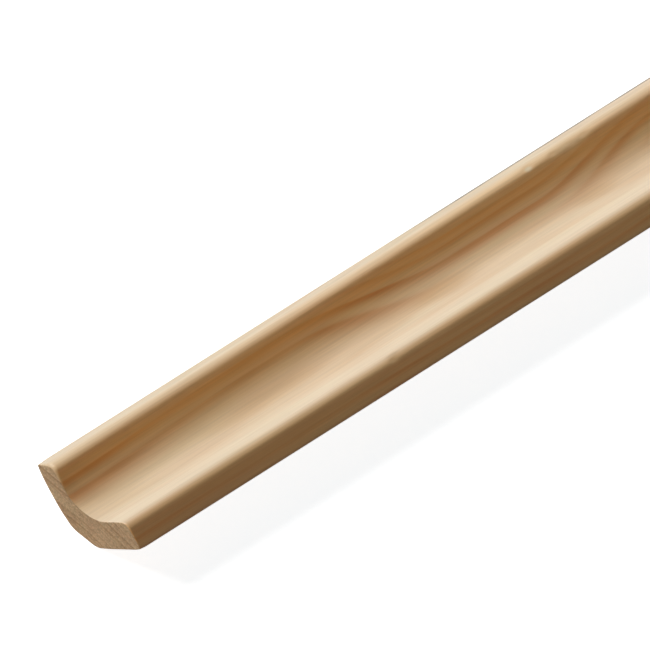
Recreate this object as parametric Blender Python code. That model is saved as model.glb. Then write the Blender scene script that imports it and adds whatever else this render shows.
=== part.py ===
"""Scotia moulding: one length of planed pine with a concave face, lying on its back.

The section is square in outline. Two flat legs stand at right angles to each
other, the wall leg a little thinner than the floor leg, and a quarter-round cove
joins them on the inside. The outside corner is planed off at 45 degrees, with a
large round on either side of the bevel. The front edge of each leg is rounded
over, and the two outer tips are only eased, as a planing machine leaves them.
The length is sawn off square at both ends.

Section coordinates: u runs from the wall face along the floor leg, and v runs
from the floor face up the wall leg. In the model the moulding lies on its back
face with the cove open upwards: +Z bisects the two legs, +X points towards the
lip of the floor leg, and Y runs along the length. Lengths are in metres.
"""

import math

import bmesh
import bpy
from mathutils import Matrix, Vector

# Length of the stock
STOCK_LENGTH = 2.400

# Outline of the section
FLOOR_LEG_REACH = 0.018
WALL_LEG_REACH = 0.018

# Thickness of each leg beyond the cove
FLOOR_LEG_THICKNESS = 0.0059
WALL_LEG_THICKNESS = 0.0047

# Cove and edges
COVE_RADIUS = 0.0069
FLOOR_LIP_RADIUS = 0.0016
WALL_LIP_RADIUS = 0.0016
BACK_CHAMFER = 0.0042
BACK_CORNER_RADIUS = 0.0032
ARRIS_RADIUS = 0.0003

# Fineness of the curves, in faces for a quarter turn
COVE_FACES = 32
BACK_CORNER_FACES = 24
LIP_FACES = 16
ARRIS_FACES = 8

# Planed pine
WOOD_COLOR = (0.67, 0.46, 0.27, 1.0)
WOOD_ROUGHNESS = 0.48


def clear_scene():
    """Remove every object that the scene holds."""
    for scene_object in list(bpy.data.objects):
        bpy.data.objects.remove(scene_object, do_unlink=True)


def pine_material():
    """Return the material of bare planed pine."""
    material = bpy.data.materials.new("planed_pine")
    material.use_nodes = True
    shader = material.node_tree.nodes["Principled BSDF"]
    shader.inputs["Base Color"].default_value = WOOD_COLOR
    shader.inputs["Roughness"].default_value = WOOD_ROUGHNESS
    shader.inputs["Metallic"].default_value = 0.0
    return material


def section_corners():
    """Return the section's sharp corners, counter-clockwise in (u, v).

    Each entry is the corner, the radius that rounds it and the number of faces
    that its arc has for a quarter turn.
    """
    eased = (ARRIS_RADIUS, ARRIS_FACES)
    rounded = (BACK_CORNER_RADIUS, BACK_CORNER_FACES)
    return [
        (Vector((BACK_CHAMFER, 0.0)), *rounded),
        (Vector((FLOOR_LEG_REACH, 0.0)), *eased),
        (Vector((FLOOR_LEG_REACH, FLOOR_LEG_THICKNESS)), FLOOR_LIP_RADIUS, LIP_FACES),
        (Vector((WALL_LEG_THICKNESS, FLOOR_LEG_THICKNESS)), COVE_RADIUS, COVE_FACES),
        (Vector((WALL_LEG_THICKNESS, WALL_LEG_REACH)), WALL_LIP_RADIUS, LIP_FACES),
        (Vector((0.0, WALL_LEG_REACH)), *eased),
        (Vector((0.0, BACK_CHAMFER)), *rounded),
    ]


def corner_arc(before, corner, after, radius, faces_per_quarter):
    """Return the points of the arc that touches both edges at a corner.

    The arc's centre lies on the bisector of the corner, at radius from either
    edge. The arc turns through as much as the edges do, to the left at an outer
    corner and to the right at an inner one.
    """
    incoming = (corner - before).normalized()
    outgoing = (after - corner).normalized()
    turn = math.atan2(incoming.x * outgoing.y - incoming.y * outgoing.x, incoming.dot(outgoing))
    tangent_length = radius * math.tan(abs(turn) / 2.0)
    start = corner - incoming * tangent_length
    side = math.copysign(1.0, turn)
    centre = start + Vector((-incoming.y, incoming.x)) * radius * side
    steps = max(2, round(faces_per_quarter * abs(turn) / (math.pi / 2.0)))
    points = []
    for index in range(steps + 1):
        spoke = start - centre
        spoke.rotate(Matrix.Rotation(turn * index / steps, 2))
        points.append(centre + spoke)
    return points


def section_outline():
    """Return the whole rounded outline of the section in (u, v)."""
    corners = section_corners()
    outline = []
    for index, (corner, radius, faces) in enumerate(corners):
        before = corners[index - 1][0]
        after = corners[(index + 1) % len(corners)][0]
        outline.extend(corner_arc(before, corner, after, radius, faces))
    return outline


def lying_section(point):
    """Return the (x, z) of a section point once the moulding lies on its back."""
    diagonal = math.sqrt(2.0)
    across = (point.x - point.y) / diagonal
    height = (point.x + point.y - BACK_CHAMFER) / diagonal
    return across, height


def build_moulding():
    """Extrude the section along the length and return the moulding."""
    mesh_builder = bmesh.new()
    near_end = -STOCK_LENGTH / 2.0
    rim = []
    for point in section_outline():
        across, height = lying_section(point)
        rim.append(mesh_builder.verts.new((across, near_end, height)))
    near_face = mesh_builder.faces.new(rim)
    extruded = bmesh.ops.extrude_face_region(mesh_builder, geom=[near_face])
    far_verts = [item for item in extruded["geom"] if isinstance(item, bmesh.types.BMVert)]
    bmesh.ops.translate(mesh_builder, verts=far_verts, vec=(0.0, STOCK_LENGTH, 0.0))
    bmesh.ops.recalc_face_normals(mesh_builder, faces=mesh_builder.faces)

    mesh = bpy.data.meshes.new("scotia_moulding")
    mesh_builder.to_mesh(mesh)
    mesh_builder.free()
    mesh.materials.append(pine_material())
    mesh.shade_smooth()
    mesh.set_sharp_from_angle(angle=math.radians(30.0))

    moulding = bpy.data.objects.new("scotia_moulding", mesh)
    bpy.context.scene.collection.objects.link(moulding)
    return moulding


def main():
    """Build the moulding in an empty scene."""
    clear_scene()
    build_moulding()


if __name__ == "__main__":
    main()
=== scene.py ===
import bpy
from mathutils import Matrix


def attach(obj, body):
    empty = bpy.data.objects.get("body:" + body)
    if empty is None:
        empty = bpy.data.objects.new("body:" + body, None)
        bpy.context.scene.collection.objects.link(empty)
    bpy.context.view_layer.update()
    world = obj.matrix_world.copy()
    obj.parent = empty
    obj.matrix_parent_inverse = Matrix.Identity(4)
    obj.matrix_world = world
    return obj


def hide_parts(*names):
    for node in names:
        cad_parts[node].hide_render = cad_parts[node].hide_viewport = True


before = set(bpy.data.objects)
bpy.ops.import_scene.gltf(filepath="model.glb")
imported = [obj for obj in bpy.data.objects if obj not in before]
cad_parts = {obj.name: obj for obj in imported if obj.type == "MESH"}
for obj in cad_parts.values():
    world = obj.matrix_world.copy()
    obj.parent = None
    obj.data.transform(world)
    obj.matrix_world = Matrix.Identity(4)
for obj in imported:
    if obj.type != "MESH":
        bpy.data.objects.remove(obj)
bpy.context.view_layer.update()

"""Scotia moulding in planed pine, dressed and lit.

The moulding is one piece of stock. Its surface is the rounded section carried
along the length, closed at both ends by a sawn face. Section coordinates are u
along the floor leg and v up the wall leg, as in the construction model. The
moulding lies on its bevelled back with the cove open upwards. Shapes are in
metres, and patterns in the wood are in millimetres.
"""

import logging
import math
from dataclasses import dataclass, field
from enum import Enum
from typing import Any

import bpy
import numpy as np
from mathutils import Matrix, Vector

log = logging.getLogger("scotia")

MM = 0.001
DIAGONAL = math.sqrt(2.0)

# Directions in the world, as the moulding lies
FLOOR_LEG = Vector((1.0, 0.0, 1.0)) / DIAGONAL
WALL_LEG = Vector((-1.0, 0.0, 1.0)) / DIAGONAL
LENGTHWISE = Vector((0.0, 1.0, 0.0))

# Values between which nearly all, or most, of a Noise texture lies
NOISE_REACH = (0.25, 0.75)
NOISE_BODY = (0.3, 0.7)

# Setting of a Map Range node that eases in and out
SMOOTH = {"interpolation_type": "SMOOTHSTEP"}


class Surface(Enum):
    """Which finish a face of the moulding has, as its material index."""

    PLANED = 0
    SAWN = 1


class End(Enum):
    """One of the two sawn ends, as its place in the list of stations."""

    NEAR = 0
    FAR = -1


def srgb(code: str) -> tuple[float, float, float, float]:
    """Turn an sRGB hex colour into linear light, by the standard's own curve.

    Args:
        code: Six hex digits after a hash.

    Returns:
        Linear red, green, blue and an alpha of one.
    """
    values = [int(code[i : i + 2], 16) / 255.0 for i in (1, 3, 5)]
    linear = [v / 12.92 if v <= 0.04045 else ((v + 0.055) / 1.055) ** 2.4 for v in values]
    return linear[0], linear[1], linear[2], 1.0


def fill_inputs(node: bpy.types.Node, inputs: dict[Any, Any]) -> None:
    """Link or set the inputs of a node.

    Args:
        node: The node.
        inputs: For each input, a socket to link from or a plain value.
    """
    for name, value in inputs.items():
        if isinstance(value, bpy.types.NodeSocket):
            node.id_data.links.new(value, node.inputs[name])
        else:
            node.inputs[name].default_value = value


def add_node(
    tree: bpy.types.NodeTree,
    kind: str,
    inputs: tuple[Any, ...] | dict[Any, Any] = (),
    output: int | str = 0,
    **settings: Any,
) -> bpy.types.NodeSocket:
    """Add a node with its settings and its inputs.

    Args:
        tree: The material's or the world's node tree.
        kind: Blender's name for the node's type, after "ShaderNode".
        inputs: Sockets to link from or plain values, in the inputs' order or
            by name.
        output: Which output is wanted.
        settings: Values of the node's own properties.

    Returns:
        The wanted output.
    """
    node = tree.nodes.new("ShaderNode" + kind)
    for name, value in settings.items():
        setattr(node, name, value)
    fill_inputs(node, inputs if isinstance(inputs, dict) else dict(enumerate(inputs)))
    return node.outputs[output]


@dataclass(frozen=True)
class Grain:
    """Size of a noise's grain in the wood.

    Attributes:
        across: Its size over the section, in mm.
        along: Its size along the length, in mm.
        detail: How many finer layers it has.
    """

    across: float
    along: float
    detail: float


@dataclass(frozen=True)
class Place:
    """Where a point of the wood lies, as sockets of a material's node tree.

    Attributes:
        tree: The node tree.
        near_end: The near end's place along the length, in mm from the middle.
        point: The point as (u, place along the length from the middle, v) in mm.
        u: How far out it lies along the floor leg, in mm.
        v: How far up it lies along the wall leg, in mm.
        along: Its distance from the near end, in mm.
    """

    tree: bpy.types.NodeTree
    near_end: float
    point: bpy.types.NodeSocket
    u: bpy.types.NodeSocket
    v: bpy.types.NodeSocket
    along: bpy.types.NodeSocket

    @classmethod
    def in_stock(cls, tree: bpy.types.NodeTree, back_bevel: float, length: float) -> "Place":
        """Work out the place from object coordinates.

        They are scaled to mm, turned by 45 degrees so that the legs lie along
        two axes, and moved by half the bevel that the stock lies on.

        Args:
            tree: The material's node tree.
            back_bevel: Size of the bevel, in metres.
            length: Length of the stock, in metres.

        Returns:
            The place.
        """
        half = back_bevel / MM / 2.0
        near_end = -length / 2.0 / MM
        turned = (0.0, math.radians(45.0), 0.0)
        coordinates = add_node(tree, "TexCoord", output="Object")
        point = add_node(tree, "Mapping", (coordinates, (half, 0.0, half), turned, (1.0 / MM,) * 3))
        parts = add_node(tree, "SeparateXYZ", (point,)).node.outputs
        along = add_node(tree, "Math", (parts["Y"], near_end), operation="SUBTRACT")
        return cls(tree, near_end, point, parts["X"], parts["Z"], along)

    def noise(self, grain: Grain) -> bpy.types.NodeSocket:
        """Return noise that is drawn out along the length.

        Args:
            grain: Size of its grain.

        Returns:
            The noise, which lies about one half.
        """
        scale = (1.0 / grain.across, 1.0 / grain.along, 1.0 / grain.across)
        stretched = add_node(self.tree, "VectorMath", (self.point, scale), operation="MULTIPLY")
        noise = {"Vector": stretched, "Scale": 1.0, "Detail": grain.detail}
        return add_node(self.tree, "TexNoise", noise)


@dataclass(frozen=True)
class GrowthRings:
    """Growth rings of the plank that the stock was cut from, in mm.

    The rings are circles round a distant pith that lies behind the back bevel.
    They are wide towards the pith and narrow outside a few poor years. The
    trunk was not straight, so the rings drift sideways along the length, which
    bends their brown bands on the wall side of the cove. The drift gets less
    in two steps, from the wall leg to the cove and on to the front.

    Attributes:
        drifts: Stretches of the length, each with the drift that it adds.
        profile: How brown a ring is at shares of the way through it.
        fadings: Stretches, each with what it adds to the bands' strength.
    """

    pith_direction: float = 41.0
    pith_distance: float = 90.0
    cove_centre: float = 12.3
    inner_width: float = 1.88
    outer_width: float = 0.80
    narrowing_at: float = 15.4
    narrowing_over: float = 2.2
    latewood_edge: float = 11.25
    drifts: tuple[tuple[float, float, float], ...] = (
        (2.0, 42.0, 0.95),
        (54.0, 94.0, -3.05),
        (114.5, 147.0, 4.00),
        (168.0, 240.0, -2.60),
    )
    drift_full_at: float = 4.4
    drift_small_at: float = 6.6
    drift_small_share: float = 0.45
    drift_front_at: float = 16.0
    drift_front_share: float = 0.25
    wander: float = 6.0
    wander_length: float = 150.0
    wander_from: float = 140.0
    wander_full_at: float = 300.0
    waviness: float = 0.10
    wave_grain: Grain = Grain(3.6, 36.0, 2.0)
    profile: tuple[tuple[float, float], ...] = (
        (0.0, 0.50),
        (0.10, 0.12),
        (0.22, 0.0),
        (0.42, 0.12),
        (0.62, 0.60),
        (0.80, 1.0),
        (0.92, 1.0),
        (1.0, 0.55),
    )
    strength_seed: float = 1975.25
    least_strength: float = 0.25
    fadings: tuple[tuple[float, float, float], ...] = (
        (8.0, 24.0, -0.40),
        (54.0, 66.0, 0.45),
        (96.0, 128.0, -0.22),
    )

    def drift(self, place: Place) -> bpy.types.NodeSocket:
        """Return how far the rings have drifted at a place, in mm.

        The drift is the sum of the stretches' own, and of slow noise beyond
        them, times what each of the two steps over the section leaves of it.

        Args:
            place: Where the point of the wood lies.

        Returns:
            A value socket.
        """
        tree = place.tree
        wave = {"W": place.along, "Scale": 1.0 / self.wander_length, "Detail": 1.0}
        wave = add_node(tree, "TexNoise", wave, noise_dimensions="1D")
        wave = add_node(tree, "Math", (wave, 0.5), operation="SUBTRACT")
        reach = (place.along, self.wander_from, self.wander_full_at, 0.0, self.wander)
        reach = add_node(tree, "MapRange", reach, **SMOOTH)
        drift = add_node(tree, "Math", (wave, reach), operation="MULTIPLY")
        for start, stop, rise in self.drifts:
            rise = add_node(tree, "MapRange", (place.along, start, stop, 0.0, rise), **SMOOTH)
            drift = add_node(tree, "Math", (drift, rise), operation="ADD")
        for start, stop, share in (
            (self.drift_full_at, self.drift_small_at, self.drift_small_share),
            (self.drift_small_at, self.drift_front_at, self.drift_front_share),
        ):
            share = add_node(tree, "MapRange", (place.u, start, stop, 1.0, share), **SMOOTH)
            drift = add_node(tree, "Math", (drift, share), operation="MULTIPLY")
        return drift

    def phase(self, place: Place) -> tuple[bpy.types.NodeSocket, bpy.types.NodeSocket]:
        """Return how far a point lies through its ring, and the ring's number.

        The depth in the trunk is the distance from the pith, a little rippled,
        less the drift. Dividing it by the inner ring width, or by the outer
        one beyond the narrowing, gives the ring's number.

        Args:
            place: Where the point of the wood lies.

        Returns:
            The fraction of the ring, and its whole number.
        """
        tree = place.tree
        direction = math.radians(self.pith_direction)
        cosine, sine = math.cos(direction), math.sin(direction)
        to_axes = (
            self.pith_distance * cosine - self.cove_centre,
            0.0,
            self.pith_distance * sine - self.cove_centre,
        )
        from_pith = (place.point, (1.0, 0.0, 1.0), to_axes)
        from_pith = add_node(tree, "VectorMath", from_pith, operation="MULTIPLY_ADD")
        depth = add_node(tree, "VectorMath", (from_pith,), "Value", operation="LENGTH")
        middle = self.pith_distance - self.cove_centre * (cosine + sine)
        depth = add_node(tree, "Math", (depth, middle), operation="SUBTRACT")
        ripple = (place.noise(self.wave_grain), *NOISE_REACH, -self.waviness, self.waviness)
        depth = add_node(tree, "Math", (depth, add_node(tree, "MapRange", ripple)), operation="ADD")
        depth = add_node(tree, "Math", (depth, self.drift(place)), operation="SUBTRACT")

        gain = 1.0 / self.outer_width - 1.0 / self.inner_width
        wide = add_node(tree, "Math", (depth, 1.0 / self.inner_width), operation="MULTIPLY")
        narrow = (depth, 1.0 / self.outer_width, -gain * self.narrowing_at)
        narrow = add_node(tree, "Math", narrow, operation="MULTIPLY_ADD")
        number = (wide, narrow, gain * self.narrowing_over)
        number = add_node(tree, "Math", number, operation="SMOOTH_MAX")
        number = (number, self.latewood_edge / self.inner_width)
        number = add_node(tree, "Math", number, operation="SUBTRACT")
        fraction = add_node(tree, "Math", (number,), operation="FRACT")
        return fraction, add_node(tree, "Math", (number,), operation="FLOOR")

    def latewood_share(
        self,
        tree: bpy.types.NodeTree,
        fraction: bpy.types.NodeSocket,
        whole: bpy.types.NodeSocket,
    ) -> bpy.types.NodeSocket:
        """Return how brown the wood is at a point, from 0 to 1.

        The share rises slowly through the ring and falls off within a tenth of
        it. Each ring has its own strength.

        Args:
            tree: The material's node tree.
            fraction: How far the point lies through its ring.
            whole: The ring's number.

        Returns:
            A value socket.
        """
        share = add_node(tree, "ValToRGB", (fraction,))
        ramp = share.node.color_ramp
        ramp.interpolation = "B_SPLINE"
        while len(ramp.elements) < len(self.profile):
            ramp.elements.new(0.5)
        for element, (position, level) in zip(ramp.elements, self.profile):
            element.position = position
            element.color = (level, level, level, 1.0)
        own = add_node(tree, "Math", (whole, self.strength_seed), operation="ADD")
        own = add_node(tree, "TexWhiteNoise", {"W": own}, noise_dimensions="1D")
        own = add_node(tree, "MapRange", (own, 0.0, 1.0, self.least_strength, 1.0))
        return add_node(tree, "Math", (share, own), operation="MULTIPLY")

    def strength(self, place: Place) -> bpy.types.NodeSocket:
        """Return how strong the bands are along the length, about 1.

        Args:
            place: Where the point of the wood lies.

        Returns:
            A value socket.
        """
        strength: Any = 1.0
        for start, stop, rise in self.fadings:
            rise = add_node(place.tree, "MapRange", (place.along, start, stop, 0.0, rise), **SMOOTH)
            strength = add_node(place.tree, "Math", (strength, rise), operation="ADD")
        return strength


@dataclass(frozen=True)
class Patch:
    """A soft-edged patch of another tone in the wood, in mm.

    Attributes:
        along: Distance of its middle from the near end.
        length: Half its length.
        centre: Section point of its middle.
        reach: How far it spreads over the section.
        strength: Share of its own colour in the middle.
        color: That colour, as sRGB hex.
        core: Share of the reach within which it is full.
    """

    along: float
    length: float
    centre: tuple[float, float]
    reach: float
    strength: float
    color: str
    core: float = 0.25

    def laid_over(self, place: Place, color: Any) -> bpy.types.NodeSocket:
        """Return a colour with the patch over it.

        The patch is full within its core and fades out evenly to its reach.
        The distance from its middle is measured in lengths along the stock and
        in reaches over the section.

        Args:
            place: Where the point of the wood lies.
            color: The colour so far.

        Returns:
            A colour socket.
        """
        tree = place.tree
        middle = (self.centre[0], place.near_end + self.along, self.centre[1])
        scale = (1.0 / self.reach, 1.0 / self.length, 1.0 / self.reach)
        offset = add_node(tree, "VectorMath", (place.point, middle), operation="SUBTRACT")
        offset = add_node(tree, "VectorMath", (offset, scale), operation="MULTIPLY")
        away = add_node(tree, "VectorMath", (offset,), "Value", operation="LENGTH")
        share = add_node(tree, "MapRange", (away, self.core, 1.0, self.strength, 0.0), **SMOOTH)
        return add_node(tree, "Mix", {0: share, 6: color, 7: srgb(self.color)}, 2, data_type="RGBA")


# Middle and half length of a patch that is a strip along the whole stock
WHOLE = (1200.0, 6000.0)


@dataclass(frozen=True)
class PlanedPine:
    """Scots pine, planed by rotary cutters and left bare.

    Planing leaves a dull satin surface with fine fibre streaks along the
    length. Early growth is pale cream, late growth is orange brown, and two
    outer arrises are darker grey. Light and shade are painted into the colours:
    paler where a face looks towards the lamp, deeper orange where it is turned away.
    """

    # Wood colours of faces turned from the lamp, made deeper and more orange as painted shade; the
    # paler colours below are painted on faces towards the lamp
    earlywood: str = "#F4C88A"
    latewood: str = "#DA9048"
    lit_earlywood: str = "#ECDDC4"
    lit_latewood: str = "#E4CCAA"
    blush: str = "#E2B48E"
    straw: str = "#DCC898"
    arris_grey: str = "#4E4843"
    roughness: float = 0.50
    smoother_fibre: float = 0.05
    rougher_fibre: float = 0.06
    ior: float = 1.53
    bump_strength: float = 0.35
    bump_height: float = 0.03
    # Pine fibres are 0.03 mm wide, too fine to show, so the streaks are ten times as wide
    fibre_grain: Grain = Grain(0.30, 14.0, 3.0)
    fibre_levels: tuple[float, float] = (0.92, 1.05)
    cloud_grain: Grain = Grain(5.0, 28.0, 2.0)
    blush_share: float = 0.28
    blush_over: tuple[float, float] = (0.45, 0.75)
    straw_share: float = 0.25
    straw_under: tuple[float, float] = (0.28, 0.48)
    band_grain: Grain = Grain(6.0, 22.0, 1.0)
    # Bands are painted weaker on faces towards the lamp, as painted light
    band_levels: tuple[float, float] = (0.75, 1.15)
    lit_band_share: float = 0.55
    lit_band_over: tuple[float, float] = (0.35, 0.85)
    rings: GrowthRings = field(default_factory=GrowthRings)
    patches: tuple[Patch, ...] = (
        # Deeper tone at the foot of the cove, partly brown blobs in the wood and partly painted shade
        # in the hollow, and on the wall leg
        Patch(45.0, 20.0, (7.0, 7.7), 2.6, 0.34, "#D0A46C"),
        Patch(88.0, 10.0, (7.3, 7.4), 2.8, 0.36, "#D0A46C"),
        Patch(13.0, 8.0, (4.95, 11.2), 0.9, 0.35, "#C08A50"),
        Patch(125.0, 7.0, (7.4, 7.3), 2.0, 0.25, "#D0A46C"),
        # Strips along the wall lip, the top of the floor lip and its front, most of them painted light
        # and shade
        # Painted highlight along the rounding of the wall lip
        Patch(*WHOLE, (4.2, 17.2), 2.1, 0.60, "#FFE0B6"),
        # Painted warm light in the shade of the wall lip's inner side, brighter and more orange
        Patch(*WHOLE, (4.8, 15.2), 3.0, 0.45, "#FFB554"),
        # Painted highlight on the lit top of the floor lip, paler with the bands washed out
        Patch(*WHOLE, (14.2, 5.9), 4.4, 0.53, "#F8ECD4"),
        # Painted shade on the front of the floor lip, deeper orange
        Patch(*WHOLE, (18.2, 3.6), 3.6, 0.30, "#CE924A"),
        # Painted highlight on the lower rounding of the floor lip
        Patch(*WHOLE, (18.1, 4.7), 1.5, 0.36, "#FFDCA6"),
        Patch(*WHOLE, (18.2, 0.7), 1.5, 0.20, "#8E6028"),
        # Painted shade, deeper still on the front over the first 90 mm
        Patch(10.0, 80.0, (18.2, 3.6), 3.6, 0.24, "#C0843C"),
        Patch(110.0, 32.0, (4.6, 16.6), 2.4, 0.25, "#FFDCA4"),
        # Dulled wood at the sawn rim
        Patch(0.0, 1.3, (5.0, 15.0), 8.0, 0.80, "#CCBC9C"),
        Patch(0.0, 1.0, (6.2, 9.4), 5.0, 0.55, "#BCA986"),
        Patch(0.0, 1.5, (18.0, 3.6), 4.0, 0.65, "#CDB685"),
        # A knock on the floor lip, and fresh wood in the tears of the wall lip
        Patch(67.0, 2.2, (17.3, 5.70), 0.60, 0.24, "#9A7240"),
        Patch(115.6, 1.2, (4.5, 17.1), 0.75, 0.60, "#FAF0D2"),
        Patch(125.3, 5.0, (4.5, 16.8), 1.10, 0.45, "#FFE2B4"),
    )
    # Painted light and shade: each way a face may look, the facings between which it gets paler, and
    # how pale
    lit_side_palenesses: tuple[tuple[tuple[float, float, float], float, float, float], ...] = (
        ((-1.0, 0.0, 1.0), 0.05, 1.10, 1.0),
        ((-1.0, 0.0, -1.0), 0.25, 0.75, 0.58),
        ((1.0, 0.0, -1.0), 0.25, 0.75, 0.58),
    )
    # Darker grey along the wall leg's back arris and the floor leg's lower arris
    arris_grey_share: float = 0.88
    arris_grey_grain: Grain = Grain(2.0, 9.0, 2.0)
    arris_grey_over: tuple[float, float] = (0.3, 0.6)
    least_arris_grey: float = 0.6
    top_grey: float = 0.10
    grey_within: float = 0.45
    grey_width: float = 1.30
    grey_before: float = 0.25
    grey_from: float = 84.0
    grey_full_at: float = 104.0
    grey_until: float = 150.0
    grey_gone_at: float = 260.0
    grey_after: float = 0.2
    grey_foot: float = 0.45
    foot_full_at: float = 0.1
    foot_gone_at: float = 0.8
    outermost: tuple[float, float] = (17.4, 17.7)

    def arris_greying(self, place: Place) -> bpy.types.NodeSocket:
        """Return how grey the wood is along its two tips, from 0 to 1.

        The top of the wall leg is a little grey all over. Its back arris is
        grey over a stretch that begins some way from the near end. The floor
        leg's lower arris is darkened all along.

        Args:
            place: Where the point of the wood lies.

        Returns:
            A value socket.
        """
        tree = place.tree
        patchy = place.noise(self.arris_grey_grain)
        greyed: Any = 1.0
        for values in (
            (place.u, self.grey_within, self.grey_width, 1.0, 0.0),
            (place.along, self.grey_from, self.grey_full_at, self.grey_before, 1.0),
            (place.along, self.grey_until, self.grey_gone_at, 1.0, self.grey_after),
            (patchy, *self.arris_grey_over, self.least_arris_grey, 1.0),
        ):
            share = add_node(tree, "MapRange", values, **SMOOTH)
            greyed = add_node(tree, "Math", (greyed, share), operation="MULTIPLY")
        greyed = add_node(tree, "Math", (greyed, self.top_grey), operation="MAXIMUM")
        top = add_node(tree, "MapRange", (place.v, *self.outermost, 0.0, 1.0), **SMOOTH)
        greyed = add_node(tree, "Math", (greyed, top), operation="MULTIPLY")
        foot = (place.v, self.foot_full_at, self.foot_gone_at, self.grey_foot, 0.0)
        foot = add_node(tree, "MapRange", foot, **SMOOTH)
        tip = add_node(tree, "MapRange", (place.u, *self.outermost, 0.0, 1.0), **SMOOTH)
        foot = add_node(tree, "Math", (foot, tip), operation="MULTIPLY")
        return add_node(tree, "Math", (greyed, foot), operation="MAXIMUM")

    def lit_side_paleness(self, tree: bpy.types.NodeTree) -> bpy.types.NodeSocket:
        """Return how pale the wood is, by which way the face looks.

        This is painted light and shade. Faces that look up the wall leg, towards
        the key lamp, are painted paler, and faces turned from it keep the deeper
        orange of wood in shade. The flat outer faces, which the stock lies against,
        are painted partly pale, so that they keep less of that shade colour.

        Args:
            tree: The material's node tree.

        Returns:
            A value socket, from 0 to 1.
        """
        normal = add_node(tree, "NewGeometry", output="Normal")
        lit_share: Any = 0.0
        for direction, low, high, most in self.lit_side_palenesses:
            unit = tuple(part / DIAGONAL for part in direction)
            facing = add_node(tree, "VectorMath", (normal, unit), "Value", operation="DOT_PRODUCT")
            share = add_node(tree, "MapRange", (facing, low, high, 0.0, most))
            lit_share = add_node(tree, "Math", (lit_share, share), operation="MAXIMUM")
        return lit_share

    def relief(
        self, tree: bpy.types.NodeTree, color: Any, grain: bpy.types.NodeSocket
    ) -> dict[str, bpy.types.NodeSocket]:
        """Return the colour and the normal of wood with a fine grain in it.

        The colour is multiplied by a level that follows the grain, and the
        grain is the height of the bump.

        Args:
            tree: The material's node tree.
            color: The wood's colour.
            grain: The noise of the grain.

        Returns:
            Sockets for the shader's inputs.
        """
        level = add_node(tree, "MapRange", (grain, *NOISE_BODY, *self.fibre_levels))
        grey = add_node(tree, "CombineColor", (level,) * 3)
        shaded = {0: 1.0, 6: color, 7: grey}
        shaded = add_node(tree, "Mix", shaded, 2, data_type="RGBA", blend_type="MULTIPLY")
        height = {"Height": grain, "Strength": self.bump_strength, "Distance": self.bump_height * MM}
        return {"Base Color": shaded, "Normal": add_node(tree, "Bump", height)}

    def inputs(self, place: Place) -> dict[str, Any]:
        """Return what the shader of the planed faces takes.

        The bands of late growth lie over early growth that clouds into blush
        and straw tones. Patches and the grey of the arrises lie over both, and the fibre streaks
        vary the level and the roughness of it all.

        Args:
            place: Where the point of the wood lies.

        Returns:
            A socket or a plain value for each input.
        """
        tree = place.tree
        # Painted light and shade: paler wood and weaker bands on faces towards the lamp, deeper orange
        # on faces turned from it
        lit_share = self.lit_side_paleness(tree)
        brown = self.rings.latewood_share(tree, *self.rings.phase(place))
        uneven = (place.noise(self.band_grain), *NOISE_BODY, *self.band_levels)
        uneven = add_node(tree, "MapRange", uneven, **SMOOTH)
        lit_band_washout = (lit_share, *self.lit_band_over, 1.0, self.lit_band_share)
        lit_band_washout = add_node(tree, "MapRange", lit_band_washout, **SMOOTH)
        for share in (uneven, self.rings.strength(place), lit_band_washout):
            brown = add_node(tree, "Math", (brown, share), operation="MULTIPLY")

        early = {0: lit_share, 6: srgb(self.earlywood), 7: srgb(self.lit_earlywood)}
        late = {0: lit_share, 6: srgb(self.latewood), 7: srgb(self.lit_latewood)}
        color = add_node(tree, "Mix", early, 2, data_type="RGBA")
        late = add_node(tree, "Mix", late, 2, data_type="RGBA")
        cloud = place.noise(self.cloud_grain)
        blush = add_node(tree, "MapRange", (cloud, *self.blush_over, 0.0, self.blush_share))
        straw = add_node(tree, "MapRange", (cloud, *self.straw_under, self.straw_share, 0.0))
        for share, tone in ((blush, srgb(self.blush)), (straw, srgb(self.straw)), (brown, late)):
            color = add_node(tree, "Mix", {0: share, 6: color, 7: tone}, 2, data_type="RGBA")
        for patch in self.patches:
            color = patch.laid_over(place, color)
        # Mixed towards dark grey along the outer arrises
        arris_grey = (self.arris_greying(place), self.arris_grey_share)
        arris_grey = {0: add_node(tree, "Math", arris_grey, operation="MULTIPLY"), 6: color, 7: srgb(self.arris_grey)}
        color = add_node(tree, "Mix", arris_grey, 2, data_type="RGBA")

        fibre = place.noise(self.fibre_grain)
        levels = (self.roughness + self.rougher_fibre, self.roughness - self.smoother_fibre)
        rough = add_node(tree, "MapRange", (fibre, *NOISE_BODY, *levels))
        return {**self.relief(tree, color, fibre), "Roughness": rough}

    def material(self, name: str, back_bevel: float, length: float) -> bpy.types.Material:
        """Build the finish as a material.

        Args:
            name: The material's name.
            back_bevel: Size of the bevel that the stock lies on, in metres.
            length: Length of the stock, in metres.

        Returns:
            The material.
        """
        material = bpy.data.materials.new(name)
        material.use_nodes = True
        tree = material.node_tree
        shader = self.inputs(Place.in_stock(tree, back_bevel, length))
        fill_inputs(tree.nodes["Principled BSDF"], {**shader, "IOR": self.ior})
        return material


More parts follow.
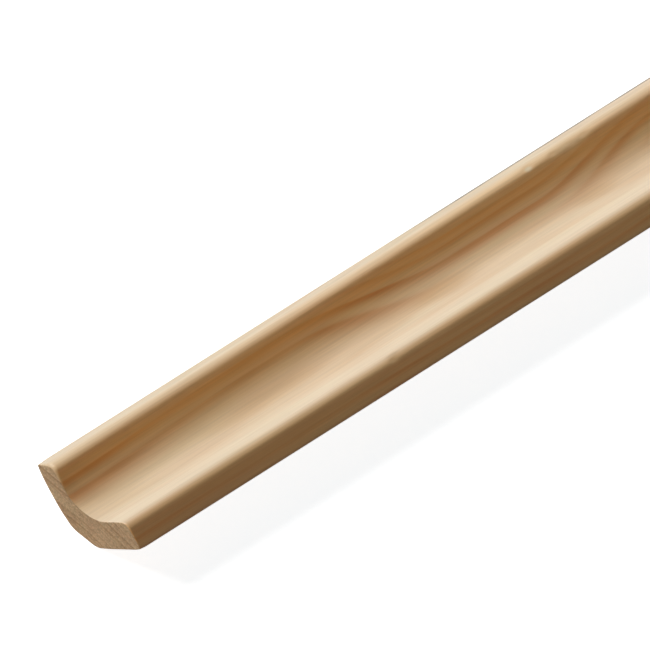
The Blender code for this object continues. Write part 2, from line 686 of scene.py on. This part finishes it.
@dataclass(frozen=True)
class SawnPine(PlanedPine):
    """The same pine across the grain, as a fine-toothed saw leaves it.

    End grain drinks the light: it is darker and duller than the planed faces,
    with the rings as thin brown lines, false rings half way between them, and
    a fine speckle of cut fibres.
    """

    earlywood: str = "#CFBB96"
    latewood: str = "#8E6841"
    blush: str = "#B99778"
    roughness: float = 0.75
    bump_strength: float = 0.5
    bump_height: float = 0.08
    # Cut fibres are 0.03 mm across, too fine to show, so the speckle is coarser
    fibre_grain: Grain = Grain(0.42, 0.42, 3.0)
    fibre_levels: tuple[float, float] = (0.70, 1.28)
    cloud_grain: Grain = Grain(3.0, 3.0, 2.0)
    false_ring_share: float = 0.6
    ring_share: float = 0.434

    def inputs(self, place: Place) -> dict[str, Any]:
        """Return what the shader of the sawn ends takes.

        The false rings are the rings' own bands, twice as often. They are
        added to them at their share, before the fine speckle goes over both.

        Args:
            place: Where the point of the wood lies.

        Returns:
            A socket or a plain value for each input.
        """
        tree = place.tree
        fraction, whole = self.rings.phase(place)
        doubled = add_node(tree, "Math", (fraction, 2.0), operation="MULTIPLY")
        between = add_node(tree, "Math", (doubled,), operation="FRACT")
        brown = self.rings.latewood_share(tree, fraction, whole)
        false_brown = self.rings.latewood_share(tree, between, whole)
        brown = (false_brown, self.false_ring_share, brown)
        brown = add_node(tree, "Math", brown, operation="MULTIPLY_ADD")
        brown = add_node(tree, "Math", (brown, self.ring_share), operation="MULTIPLY")
        cloud = place.noise(self.cloud_grain)
        color = {0: cloud, 6: srgb(self.earlywood), 7: srgb(self.blush)}
        color = add_node(tree, "Mix", color, 2, data_type="RGBA")
        color = {0: brown, 6: color, 7: srgb(self.latewood)}
        color = add_node(tree, "Mix", color, 2, data_type="RGBA")
        speck = place.noise(self.fibre_grain)
        return {**self.relief(tree, color, speck), "Roughness": self.roughness}


@dataclass(frozen=True)
class Chip:
    """A small piece broken out of a long edge, or a worn stretch, in metres.

    Attributes:
        along: Distance of its middle from the near end.
        corner: Section point that it is nearest to.
        length: Its length along the edge.
        reach: How far it spreads over the section.
        depth: How deep it goes.
        raggedness: Height of the waves in it, as a share of the depth.
        waves: How fast the waves go, along and over the section.
        deepest: The most that waves may add up to, as a share of the depth.
    """

    along: float
    corner: tuple[float, float]
    length: float
    reach: float
    depth: float
    raggedness: float = 0.18
    waves: tuple[float, float] = (9.0, 4.0)
    deepest: float = 1.2

    def depth_at(self, ring: np.ndarray, along: np.ndarray) -> np.ndarray:
        """Return how deep the chip is at each station and section point.

        With r as the distance from its middle, in lengths along the edge and
        in reaches over the section, the depth is a bell, the exponential of
        minus twice the cube of r. Sine waves under a wider bell, that of minus
        three times the square of r, are added to it.

        Args:
            ring: Points of the section.
            along: Distances from the near end.

        Returns:
            An array of depths, one row for each station.
        """
        lengthwise = ((along - self.along) / self.length)[:, None]
        sideways = (np.linalg.norm(ring - np.array(self.corner), axis=1) / self.reach)[None, :]
        square = lengthwise**2 + sideways**2
        waves = np.sin(lengthwise * self.waves[0] + sideways * self.waves[1])
        bell = np.exp(-2.0 * square**1.5) + self.raggedness * waves * np.exp(-3.0 * square)
        return self.depth * np.clip(bell, 0.0, self.deepest)


@dataclass
class Moulding:
    """The stock itself: section, length, sawn ends and damage, in metres.

    Attributes:
        worn_easing: Most that the near end's rim is rubbed, at the wall lip.
        worn_from: Height on the wall leg from which it is rubbed.
        worn_front_from: Where on the floor leg the rub of its lip begins.
        worn_front_share: How much of the wall lip's rub that lip has.
        saw_lean_floor: Slope of the near end's cut along the floor leg.
        saw_lean_wall: Slope of the cut down the wall leg.
        lean_reach: Distance over which the lean dies out in the sides.
        torn_rows: Rows of faces next to each end that the saw has torn.
        shown_length: Length that shows sharply, with a station each step.
        turn_crowding: How much a radian of turn crowds the columns, against
            one for the whole path.
    """

    length: float = 2.400
    floor_reach: float = 0.018
    wall_reach: float = 0.018
    floor_thickness: float = 0.0059
    wall_thickness: float = 0.0047
    cove_radius: float = 0.0069
    lip_radius: float = 0.0016
    back_bevel: float = 0.0042
    back_corner_radius: float = 0.0032
    arris_radius: float = 0.0003
    end_easing: float = 0.00014
    worn_easing: float = 0.00105
    worn_from: float = 0.0132
    worn_front_from: float = 0.0158
    worn_front_share: float = 0.45
    saw_lean_floor: float = 0.0310
    saw_lean_wall: float = 0.1200
    lean_reach: float = 0.008
    tip_wear: float = 0.00030
    tip_wear_reach: float = 0.0060
    breakout: float = 0.00036
    breakout_reach: float = 0.0052
    columns: int = 80
    end_rows: int = 8
    torn_rows: int = 2
    shown_length: float = 0.158
    shown_step: float = 0.0005
    plain_stations: int = 230
    eased_stations: int = 9
    arc_points: int = 48
    arris_points: int = 24
    dense_points: int = 6001
    turn_crowding: float = 0.25
    turn_smoothing: int = 61
    sharp_angle: float = 38.0
    chips: tuple[Chip, ...] = (
        Chip(0.1156, (0.0044, 0.0174), 0.0012, 0.0007, 0.00016),
        Chip(0.1253, (0.0046, 0.0168), 0.0042, 0.0011, 0.00018),
        Chip(0.1213, (0.0045, 0.0170), 0.0009, 0.0006, 0.00014),
        Chip(0.1291, (0.0045, 0.0171), 0.0012, 0.0006, 0.00012),
        Chip(0.0665, (0.0179, 0.0048), 0.0010, 0.0006, 0.00012),
        Chip(0.0950, (0.0034, 0.0179), 0.0620, 0.0018, 0.00018),
        Chip(0.0, (0.0, 0.0180), 0.0022, 0.0008, 0.00010),
        Chip(0.0, (0.0180, 0.0), 0.0018, 0.0008, 0.00012),
    )
    planed: PlanedPine = field(default_factory=PlanedPine)
    sawn: SawnPine = field(default_factory=SawnPine)

    def rounded_path(self, corners: list[tuple[float, float, float]]) -> np.ndarray:
        """Return a dense path through corners, each rounded by a tangent arc.

        Each arc turns from one edge's direction to the next round a centre at
        its radius from both edges. The first and last corners are end points.

        Args:
            corners: Corner points as (u, v, radius).

        Returns:
            An array of (u, v) points.
        """
        points = [np.array([corners[0][:2]])]
        for before, corner, after in zip(corners, corners[1:], corners[2:]):
            spot = np.array(corner[:2])
            into = spot - np.array(before[:2])
            out = np.array(after[:2]) - spot
            into /= np.linalg.norm(into)
            out /= np.linalg.norm(out)
            turn = math.atan2(into[0] * out[1] - into[1] * out[0], float(into @ out))
            radius = corner[2]
            start = spot - into * radius * math.tan(abs(turn) / 2.0)
            side = math.copysign(1.0, turn)
            centre = start + np.array([-into[1], into[0]]) * radius * side
            spoke = start - centre
            angle = np.linspace(0.0, turn, self.arc_points)
            across = centre[0] + spoke[0] * np.cos(angle) - spoke[1] * np.sin(angle)
            up = centre[1] + spoke[0] * np.sin(angle) + spoke[1] * np.cos(angle)
            points.append(np.stack([across, up], axis=1))
        points.append(np.array([corners[-1][:2]]))
        return np.concatenate(points)

    def half_arris(
        self,
        tip: tuple[float, float],
        start_angle: float,
        end_angle: float,
        outward: tuple[float, float],
    ) -> np.ndarray:
        """Return half of the arc that eases a square outer corner.

        Args:
            tip: The sharp corner.
            start_angle: Where the half arc starts, in degrees.
            end_angle: Where it ends, in degrees.
            outward: Signs of u and v towards the corner.

        Returns:
            An array of (u, v) points.
        """
        centre = np.array(tip) - np.array(outward) * self.arris_radius
        angle = np.radians(np.linspace(start_angle, end_angle, self.arris_points))
        return centre + self.arris_radius * np.stack([np.cos(angle), np.sin(angle)], axis=1)

    def paths(self) -> tuple[np.ndarray, np.ndarray]:
        """Return matching points of the moulded face and of the back.

        Both run from the wall lip's back corner to the floor lip's lower
        corner. They are sampled at the same shares of their lengths, closer
        together where either of them turns: evenly by the length, plus the
        smoothed turn times its crowding.

        Returns:
            Two arrays of (u, v) points with the same number of rows.
        """
        lip, arris = self.lip_radius, self.arris_radius
        top, to_top = (0.0, self.wall_reach), (-1.0, 1.0)
        foot, to_foot = (self.floor_reach, 0.0), (1.0, -1.0)
        face = self.rounded_path(
            [
                (arris, self.wall_reach, 0.0),
                (self.wall_thickness, self.wall_reach, lip),
                (self.wall_thickness, self.floor_thickness, self.cove_radius),
                (self.floor_reach, self.floor_thickness, lip),
                (self.floor_reach, arris, 0.0),
            ]
        )
        starts = self.half_arris(top, 135.0, 90.0, to_top)
        ends = self.half_arris(foot, 0.0, -45.0, to_foot)
        face = np.concatenate([starts, face[1:-1], ends])
        back = self.rounded_path(
            [
                (0.0, self.wall_reach - arris, 0.0),
                (0.0, self.back_bevel, self.back_corner_radius),
                (self.back_bevel, 0.0, self.back_corner_radius),
                (self.floor_reach - arris, 0.0, 0.0),
            ]
        )
        starts = self.half_arris(top, 135.0, 180.0, to_top)
        ends = self.half_arris(foot, -90.0, -45.0, to_foot)
        back = np.concatenate([starts, back[1:-1], ends])

        dense = np.linspace(0.0, 1.0, self.dense_points)
        crowding = np.ones(dense.size - 1)
        kernel = np.full(self.turn_smoothing, 1.0 / self.turn_smoothing)
        for path in (face, back):
            steps = np.diff(self.at_share(path, dense), axis=0)
            heading = np.unwrap(np.arctan2(steps[:, 1], steps[:, 0]))
            turned = np.convolve(np.abs(np.gradient(heading)), kernel, mode="same")
            crowding += turned * crowding.size * self.turn_crowding
        total = np.concatenate([[0.0], np.cumsum(crowding)])
        shares = np.interp(np.linspace(0.0, total[-1], self.columns), total, dense)
        return self.at_share(face, shares), self.at_share(back, shares)

    def at_share(self, path: np.ndarray, shares: np.ndarray) -> np.ndarray:
        """Return the points that lie at given shares of a path's length.

        Args:
            path: Points of the path.
            shares: Shares of its length, from 0 to 1.

        Returns:
            An array of (u, v) points.
        """
        run = np.concatenate([[0.0], np.cumsum(np.linalg.norm(np.diff(path, axis=0), axis=1))])
        run /= run[-1]
        return np.stack([np.interp(shares, run, path[:, axis]) for axis in (0, 1)], axis=1)

    def stations(self) -> np.ndarray:
        """Return distances from the near end at which the section is placed.

        They crowd towards either end by a cosine, over the most that the rim
        is rubbed. They follow at a small step over the length that shows
        sharply, and at equal wide steps beyond it.

        Returns:
            An array of distances that only grow.
        """
        eased = np.cos(np.linspace(0.0, math.pi / 2.0, self.eased_stations))
        eased = self.worn_easing * (1.0 - eased)
        shown = np.arange(0.0, self.shown_length, self.shown_step)
        shown = shown[shown > self.worn_easing]
        rest = np.linspace(self.shown_length, self.length - self.worn_easing, self.plain_stations)
        return np.concatenate([eased, shown, rest[:-1], self.length - eased[::-1]])

    def outward_normals(self, ring: np.ndarray) -> np.ndarray:
        """Return unit normals of a closed clockwise ring of points.

        The normal is the chord between a point's neighbours, turned a quarter
        turn to the left.

        Args:
            ring: Points of the ring.

        Returns:
            An array of (u, v) directions.
        """
        chord = np.roll(ring, -1, axis=0) - np.roll(ring, 1, axis=0)
        normal = np.stack([-chord[:, 1], chord[:, 0]], axis=1)
        return normal / np.linalg.norm(normal, axis=1, keepdims=True)

    def end_rounding(self, ring: np.ndarray, along: np.ndarray) -> np.ndarray:
        """Return how far the sawn edges draw the section in, near both ends.

        Within the easing radius of an end, the inset follows a quarter circle:
        the radius less the root of its square less that of what is left to the
        radius. The radius is small, and grows at the near end towards the two
        places that have been rubbed: the top of the wall leg's inner side,
        and the front lip.

        Args:
            ring: Points of the section.
            along: Distances from the near end.

        Returns:
            An array of insets, one row for each station.
        """
        u, v = ring[:, 0], ring[:, 1]
        wall = np.clip((v - self.worn_from) / (self.wall_reach - self.worn_from), 0.0, 1.0)
        wall *= np.clip(u / self.wall_thickness, 0.0, 1.0)
        front = (u - self.worn_front_from) / (self.floor_reach - self.worn_front_from)
        front = np.clip(front, 0.0, 1.0) * np.clip(v / self.floor_thickness, 0.0, 1.0)
        rubbed = np.maximum(wall, self.worn_front_share * front)
        near = self.end_easing + (self.worn_easing - self.end_easing) * rubbed
        near_left = np.clip(1.0 - along[:, None] / near[None, :], 0.0, 1.0)
        far_left = np.clip(1.0 - (self.length - along[:, None]) / self.end_easing, 0.0, 1.0)
        near_inset = near[None, :] * (1.0 - np.sqrt(1.0 - near_left**2))
        return near_inset + self.end_easing * (1.0 - np.sqrt(1.0 - far_left**2))

    def saw_plane(self, section: np.ndarray) -> np.ndarray:
        """Return how far the sawn near end lies inside the stock's full length.

        The cut leans evenly from the wall lip's back corner: by its floor
        slope times u, plus its wall slope times the drop below the top. The
        tip of the wall leg is worn back by a square law over its reach. Round
        the back bevel, where the blade came out, a thin layer has broken off:
        its depth falls with the fourth power of the distance, as a bell.

        Args:
            section: Points as (u, v).

        Returns:
            An array of distances.
        """
        drop = self.wall_reach - section[..., 1]
        wear = self.tip_wear * np.clip(1.0 - drop / self.tip_wear_reach, 0.0, 1.0) ** 2
        away = np.linalg.norm(section - self.back_bevel / 2.0, axis=-1) / self.breakout_reach
        broken = self.breakout * np.exp(-(away**4))
        return self.saw_lean_floor * section[..., 0] + self.saw_lean_wall * drop + wear + broken

    def lying(self, section: np.ndarray, along: np.ndarray) -> np.ndarray:
        """Return world points of section points once the stock lies down.

        x is u less v and z is u plus v less the bevel, both over the root of
        two, and y is the distance along, centred on the length.

        Args:
            section: Points as (u, v).
            along: Their distances from the near end.

        Returns:
            A list of points, as an array with three columns.
        """
        u, v = section[..., 0], section[..., 1]
        across, height = (u - v) / DIAGONAL, (u + v - self.back_bevel) / DIAGONAL
        run = np.broadcast_to(along - self.length / 2.0, u.shape)
        return np.stack([across, run, height], axis=-1).reshape(-1, 3)

    def end_grid(
        self, rim_points: np.ndarray, rim: int, first_free: int
    ) -> tuple[np.ndarray, np.ndarray]:
        """Return the vertex grid of a sawn end, from moulded face to back.

        The first and last rows are the rim that the sides end in, and the rows
        between are straight blends of the two.

        Args:
            rim_points: The section's points at that end.
            rim: Number of the rim's first vertex.
            first_free: Number that the first new vertex gets.

        Returns:
            The vertex numbers, and the new points as rows of (u, v).
        """
        inside = np.arange(1, self.columns - 1)
        face, back_number = rim_points[inside], rim_points.shape[0] - inside
        share = np.linspace(0.0, 1.0, self.end_rows + 1)[1:-1, None, None]
        inner = face[None] * (1.0 - share) + rim_points[back_number][None] * share
        grid = np.empty((self.end_rows + 1, inside.size), dtype=np.int64)
        grid[0] = rim + inside
        grid[-1] = rim + back_number
        grid[1:-1] = first_free + np.arange(inner.shape[0] * inside.size).reshape(-1, inside.size)
        return grid, inner

    def end_faces(self, grid: np.ndarray, rim: int, end: End) -> tuple[np.ndarray, np.ndarray]:
        """Return the faces of a sawn end, pointing away from the stock.

        The grid's cells are four-sided, and fans of triangles close it to the
        rim's two tips.

        Args:
            grid: Vertex numbers of the end, from moulded face to back.
            rim: Number of the rim's first vertex.
            end: Which end it is.

        Returns:
            The vertex numbers of the four-sided faces and of the triangles.
        """
        squares = [grid[:-1, :-1], grid[:-1, 1:], grid[1:, 1:], grid[1:, :-1]]
        squares = np.stack(squares, axis=-1).reshape(-1, 4)
        first, last = (np.full(self.end_rows, rim + tip) for tip in (0, self.columns - 1))
        starts = np.stack([first, grid[:-1, 0], grid[1:, 0]], axis=-1)
        ends = np.stack([grid[:-1, -1], last, grid[1:, -1]], axis=-1)
        fans = np.concatenate([starts, ends])
        if end is End.NEAR:
            return squares[:, ::-1], fans[:, ::-1]
        return squares, fans

    def build(self) -> bpy.types.Object:
        """Build the moulding's mesh and its object.

        The section, less the chips and the rounding of the ends, stands at
        every station. The lean of the near end dies out evenly in the sides.

        Returns:
            The object, which lies in its place.
        """
        face, back = self.paths()
        ring = np.concatenate([face, back[-2:0:-1]])
        around = ring.shape[0]
        along = self.stations()
        inset = self.end_rounding(ring, along) + sum(chip.depth_at(ring, along) for chip in self.chips)
        sections = ring[None] - self.outward_normals(ring)[None] * inset[..., None]
        fade = np.clip(1.0 - along / self.lean_reach, 0.0, 1.0)[:, None]
        vertices = [self.lying(sections, along[:, None] + self.saw_plane(sections) * fade)]

        station = np.arange(along.size - 1)[:, None] * around
        here = np.arange(around)[None, :]
        there = (here + 1) % around
        sides = [station + here, station + there, station + around + there, station + around + here]
        quads, triangles = [np.stack(sides, axis=-1).reshape(-1, 4)], []
        for end in End:
            rim = (along.size - 1) * around if end is End.FAR else 0
            first_free = sum(points.shape[0] for points in vertices)
            grid, inner = self.end_grid(sections[end.value], rim, first_free)
            plane = self.saw_plane(inner) if end is End.NEAR else np.full(inner.shape[:-1], self.length)
            vertices.append(self.lying(inner, plane))
            squares, fans = self.end_faces(grid, rim, end)
            quads.append(squares)
            triangles.append(fans)

        mesh = bpy.data.meshes.new("moulding_surface")
        faces = np.concatenate(quads).tolist() + np.concatenate(triangles).tolist()
        mesh.from_pydata(np.concatenate(vertices).tolist(), [], faces)
        finish = np.full(len(faces), Surface.SAWN.value, dtype=np.int32)
        torn = self.torn_rows * around
        finish[torn : quads[0].shape[0] - torn] = Surface.PLANED.value
        mesh.polygons.foreach_set("material_index", finish)
        mesh.update()
        mesh.shade_smooth()
        mesh.set_sharp_from_angle(angle=math.radians(self.sharp_angle))
        piece = bpy.data.objects.new("planed_scotia", mesh)
        bpy.context.scene.collection.objects.link(piece)
        return piece

    def dress(self, piece: bpy.types.Object) -> None:
        """Give the moulding its planed and sawn finishes.

        Args:
            piece: The moulding's object.
        """
        for name, finish in (("planed_pine", self.planed), ("sawn_pine_end", self.sawn)):
            piece.data.materials.append(finish.material(name, self.back_bevel, self.length))


def background_ray(tree: bpy.types.NodeTree) -> bpy.types.NodeSocket:
    """Return 1 on rays that show the background as such, else 0.

    Args:
        tree: The material's or the world's node tree.

    Returns:
        A value socket.
    """
    path = add_node(tree, "LightPath").node.outputs
    seen = (path["Is Camera Ray"], path["Is Glossy Ray"])
    seen = add_node(tree, "Math", seen, operation="MAXIMUM")
    return add_node(tree, "Math", (seen, path["Is Transmission Ray"]), operation="MAXIMUM")


@dataclass(frozen=True)
class PaperBackdrop:
    """Matt paper under the stock, which looks white and keeps the shadow.

    Paper has no gloss. Seen straight, a glow lifts it to white. The light that
    it throws back on the wood is that of plain warm paper.
    """

    color: str = "#EDEBE8"
    glow: str = "#F8FCFF"
    glow_strength: float = 0.905
    bounce: str = "#E0CCB0"
    roughness: float = 0.9

    def material(self, name: str) -> bpy.types.Material:
        """Build the paper as a material.

        Args:
            name: The material's name.

        Returns:
            The material.
        """
        material = bpy.data.materials.new(name)
        material.use_nodes = True
        tree = material.node_tree
        shader = tree.nodes["Principled BSDF"]
        plain = {"Base Color": srgb(self.bounce), "Roughness": self.roughness}
        fill_inputs(shader, {**plain, "Specular IOR Level": 0.0})
        shown = add_node(tree, "BsdfDiffuse", {"Color": srgb(self.color)})
        glow = {"Color": srgb(self.glow), "Strength": self.glow_strength}
        both = add_node(tree, "AddShader", (shown, add_node(tree, "Emission", glow)))
        mix = add_node(tree, "MixShader", (background_ray(tree), shader.outputs["BSDF"], both))
        fill_inputs(tree.nodes["Material Output"], {"Surface": mix})
        return material


@dataclass
class Studio:
    """Pale floor, soft light and the camera at the photograph's angle.

    Attributes:
        picture_px: Width and height of the picture.
        px_per_mm: Scale of the section's legs in it.
        corner_px: Where the wall leg's back corner lies, right and down.
        length_slope: Slope of the length in the picture, in degrees.
        section_turn: Turn of the section about the length, in degrees.
        length_tilt: Tilt of the length out of the picture, in degrees.
        key_direction: Where the lamp stands, as shares of the floor leg's,
            the length's and the wall leg's directions.
    """

    picture_px: float = 650.0
    px_per_mm: float = 5.603
    corner_px: tuple[float, float] = (35.38, 465.16)
    length_slope: float = 32.305
    section_turn: float = 19.04
    length_tilt: float = 29.43
    camera_distance: float = 0.8
    camera_reach: tuple[float, float] = (0.01, 50.0)
    floor_size: float = 60.0
    floor_gap: float = 0.0001
    paper: PaperBackdrop = field(default_factory=PaperBackdrop)
    key_direction: tuple[float, float, float] = (-0.015, -0.40, 0.90)
    key_strength: float = 2.86
    key_softness: float = 32.0
    fill_strength: float = 0.06
    fill_color: str = "#FFDCAD"

    def add_camera(self, moulding: Moulding) -> None:
        """Place the camera so that the sawn end lies as in the photograph.

        The picture's axes follow from three angles: the slope of the length in
        the picture, its tilt away from the picture's plane, and the turn of
        the section about it.

        Args:
            moulding: The stock that the camera looks at.
        """
        slope = math.radians(self.length_slope)
        turn = math.radians(self.section_turn)
        tilt = math.radians(self.length_tilt)
        towards = FLOOR_LEG * math.cos(turn) + WALL_LEG * math.sin(turn)
        across = FLOOR_LEG * math.sin(turn) - WALL_LEG * math.cos(turn)
        viewer = towards * math.cos(tilt) - LENGTHWISE * math.sin(tilt)
        along_slope = LENGTHWISE * math.cos(tilt) + towards * math.sin(tilt)
        right = along_slope * math.cos(slope) + across * math.sin(slope)
        up = along_slope * math.sin(slope) - across * math.cos(slope)

        corner = Vector(moulding.lying(np.array([0.0, moulding.wall_reach]), np.array(0.0))[0])
        middle = self.picture_px / 2.0
        scale = MM / self.px_per_mm
        sideways = right * (middle - self.corner_px[0]) * scale
        centre = corner + sideways + up * (self.corner_px[1] - middle) * scale
        data = bpy.data.cameras.new("camera")
        data.type = "ORTHO"
        data.ortho_scale = self.picture_px * scale
        data.clip_start, data.clip_end = self.camera_reach
        camera = bpy.data.objects.new("camera", data)
        turned = Matrix((right, up, viewer)).transposed().to_4x4()
        camera.matrix_world = Matrix.Translation(centre + viewer * self.camera_distance) @ turned
        bpy.context.scene.collection.objects.link(camera)
        bpy.context.scene.camera = camera

    def add_floor(self) -> None:
        """Add the floor that the moulding lies on."""
        half = self.floor_size / 2.0
        corners = [(-half, -half), (half, -half), (half, half), (-half, half)]
        mesh = bpy.data.meshes.new("floor")
        mesh.from_pydata([(x, y, -self.floor_gap) for x, y in corners], [], [(0, 1, 2, 3)])
        mesh.materials.append(self.paper.material("matt_paper"))
        floor = bpy.data.objects.new("floor", mesh)
        bpy.context.scene.collection.objects.link(floor)

    def add_light(self) -> None:
        """Add the soft key lamp and the weak even light all round."""
        axes = (FLOOR_LEG, LENGTHWISE, WALL_LEG)
        towards_lamp = sum((axis * share for axis, share in zip(axes, self.key_direction)), Vector())
        data = bpy.data.lights.new("key", "SUN")
        data.energy = self.key_strength
        data.angle = math.radians(self.key_softness)
        lamp = bpy.data.objects.new("key", data)
        lamp.rotation_mode = "QUATERNION"
        lamp.rotation_quaternion = towards_lamp.to_track_quat("Z", "Y")
        lamp.location = towards_lamp
        bpy.context.scene.collection.objects.link(lamp)

        world = bpy.data.worlds.new("studio")
        bpy.context.scene.world = world
        world.use_nodes = True
        tree = world.node_tree
        fill = {"Color": srgb(self.fill_color), "Strength": self.fill_strength}
        fill = add_node(tree, "Background", fill)
        white = add_node(tree, "Background", {"Color": srgb("#FFFFFF"), "Strength": 1.0})
        mix = add_node(tree, "MixShader", (background_ray(tree), fill, white))
        tree.nodes.remove(tree.nodes["Background"])
        fill_inputs(tree.nodes["World Output"], {"Surface": mix})


def main() -> None:
    """Build the moulding and the studio, and report each piece."""
    logging.basicConfig(level=logging.INFO, format="%(message)s")
    scene = bpy.context.scene
    scene.view_settings.view_transform = "Standard"

    moulding = Moulding()
    piece = moulding.build()
    moulding.dress(piece)
    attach(piece, "root")
    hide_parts("scotia_moulding")
    log.info("%s: %d faces", piece.name, len(piece.data.polygons))

    studio = Studio()
    studio.add_floor()
    studio.add_light()
    studio.add_camera(moulding)


if __name__ == "__main__":
    main()
